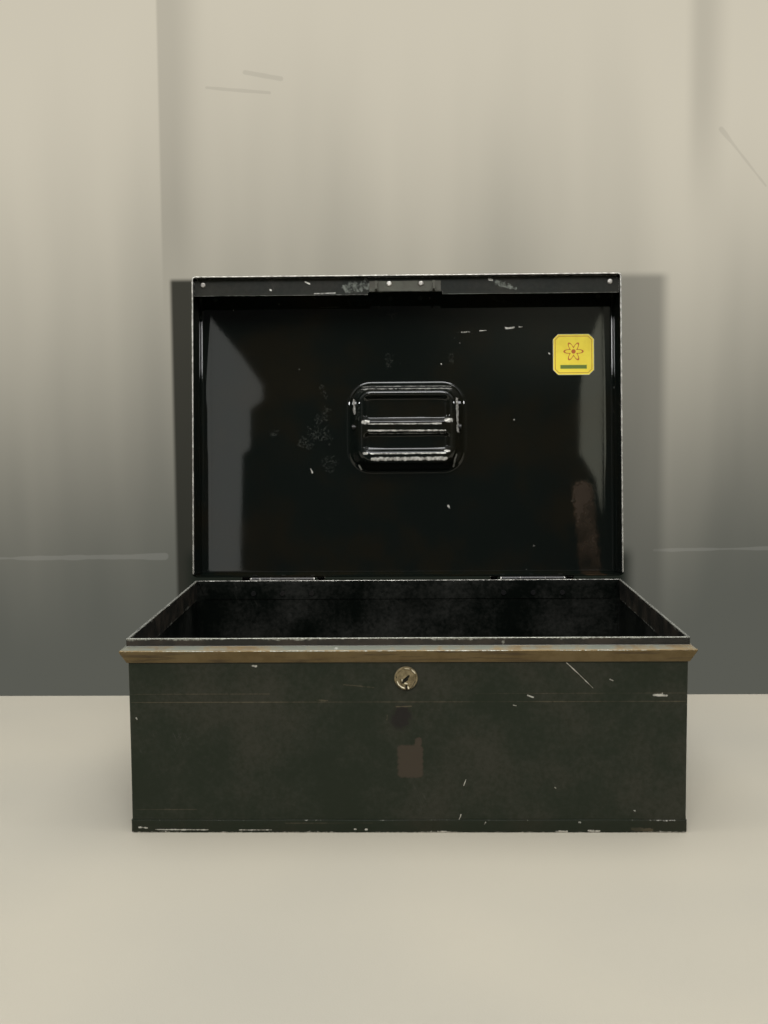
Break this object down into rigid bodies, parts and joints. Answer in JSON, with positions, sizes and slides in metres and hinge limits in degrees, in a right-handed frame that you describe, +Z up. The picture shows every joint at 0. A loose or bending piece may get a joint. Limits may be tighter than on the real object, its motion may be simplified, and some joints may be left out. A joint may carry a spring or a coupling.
{
  "type": "deed box",
  "caption": "Rectangular japanned tin box with a beaded rim, a deep lid on stop hinges standing open, a drop handle in a pressed recess and a round plug lock.",
  "frame": {"origin": "middle of the underside of the base, on the surface the box stands on", "axes": "+Z up, the lock faces -Y, +X to the right as seen from the front; the lid is stored open"},
  "size_m": [0.4172, 0.3628, 0.4365],
  "materials": {
    "black_japan": "black japan lacquer, glossy, worn to bare tin along folds and edges",
    "gold_rim": "bronze-gold lacquer on the bead, black japan on the folded top, worn",
    "lock_brass": "dull yellow brass with handling marks",
    "bare_steel": "bare rolled steel and tinned iron, slightly rusty",
    "black_wire": "black lacquered steel wire",
    "label_paper": "yellow paper label, satin"
  },
  "bodies": {
    "box_body": {"body_walls": "black_japan", "base_tray": "black_japan", "rim_front": "gold_rim", "rim_left": "gold_rim", "rim_right": "gold_rim", "rim_back": "black_japan", "hinge_left_body_leaf": "black_japan", "hinge_right_body_leaf": "black_japan", "hinge_left_pin": "bare_steel", "hinge_right_pin": "bare_steel", "hinge_body_rivets": "black_japan", "lock_case": "bare_steel", "lock_cover": "bare_steel", "lock_cover_screws": "bare_steel", "lock_barrel": "lock_brass", "barrel_nut": "bare_steel", "barrel_spacer": "bare_steel", "bolt_studs": "bare_steel"},
    "lid": {"lid_tray": "black_japan", "front_rail": "black_japan", "rail_rivets": "bare_steel", "link_plate": "bare_steel", "link_rivets": "bare_steel", "hinge_left_lid_leaf": "black_japan", "hinge_right_lid_leaf": "black_japan", "hinge_lid_rivets": "black_japan", "lid_label": "label_paper"},
    "handle": {"handle_bail": "black_wire"},
    "plug": {"lock_plug": "lock_brass", "lock_wafers": "lock_brass", "wafer_springs": "bare_steel", "lock_cam": "bare_steel"},
    "bolt": {"lock_bolt": "lock_brass"}
  },
  "joints": [
    {"name": "lid_hinge", "type": "hinge", "parent": "box_body", "child": "lid", "pos_m": [0, 0.14605, 0.1453], "axis": [1, 0, 0], "range_deg": [0, 95.8]},
    {"name": "handle_pivot", "type": "hinge", "parent": "lid", "child": "handle", "pos_m": [0, 0.19303, 0.29014], "axis": [1, 0, 0], "range_deg": [-5.8, 174.2]},
    {"name": "plug_turn", "type": "hinge", "parent": "box_body", "child": "plug", "pos_m": [-0.0007, -0.14, 0.1152], "axis": [0, 1, 0], "range_deg": [0, 90]},
    {"name": "bolt_slide", "type": "slide", "parent": "box_body", "child": "bolt", "axis": [1, 0, 0], "range_m": [0, 0.00502]}
  ],
  "couplings": [
    {"joint": "plug_turn", "follows": "bolt_slide", "rad_per_m": 312.9}
  ]
}
